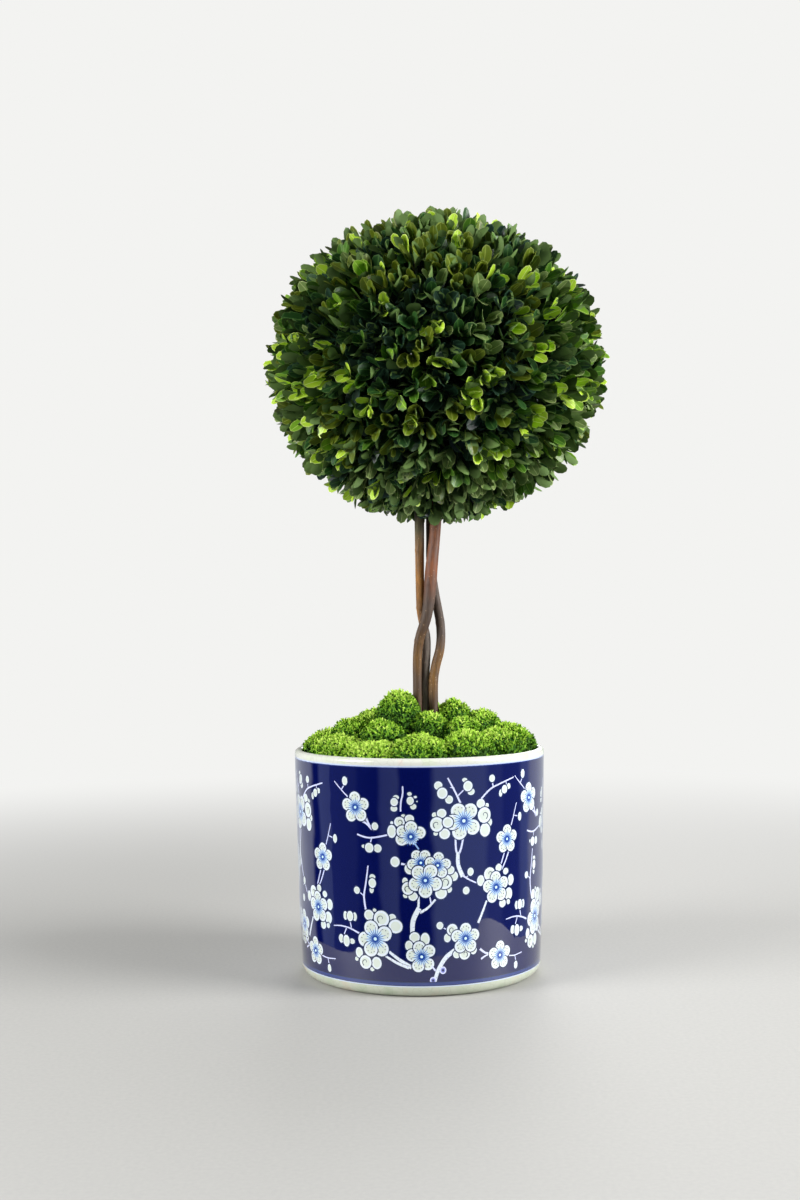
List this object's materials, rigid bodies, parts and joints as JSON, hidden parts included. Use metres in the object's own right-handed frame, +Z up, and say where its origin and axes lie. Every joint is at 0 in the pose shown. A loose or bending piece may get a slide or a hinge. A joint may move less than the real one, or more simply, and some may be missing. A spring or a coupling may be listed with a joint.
{
  "type": "box topiary ball in a glazed pot",
  "caption": "Clipped ball of box foliage on twisted bare stems, rising from a mound of cushion moss in a round glazed planter that stands on its flat base.",
  "frame": {"origin": "centre of the pot's flat underside, on the surface it stands on", "axes": "+Z up, -Y the front of the plant, +X to the right seen from the front"},
  "size_m": [0.2742, 0.2702, 0.6084],
  "materials": {
    "pot_glaze": "gloss",
    "filling_foam": "matte",
    "stem_bark": "satin",
    "box_foliage": "matte",
    "moss": "matte"
  },
  "bodies": {
    "root": {"pot": "pot_glaze", "filling": "filling_foam", "stem_left": "stem_bark", "stem_front": "stem_bark", "stem_right": "stem_bark", "crown": "box_foliage", "moss_tall": "moss", "moss_small_front": "moss", "moss_right": "moss", "moss_far_right": "moss", "moss_front_left": "moss", "moss_front_right": "moss", "moss_back": "moss", "moss_back_left": "moss", "moss_left": "moss", "moss_rim_1": "moss", "moss_rim_2": "moss", "moss_rim_3": "moss", "moss_rim_4": "moss", "moss_rim_5": "moss", "moss_rim_6": "moss", "moss_rim_7": "moss", "moss_rim_8": "moss", "moss_rim_9": "moss", "moss_rim_10": "moss", "moss_rim_11": "moss", "moss_rim_12": "moss"}
  },
  "joints": []
}
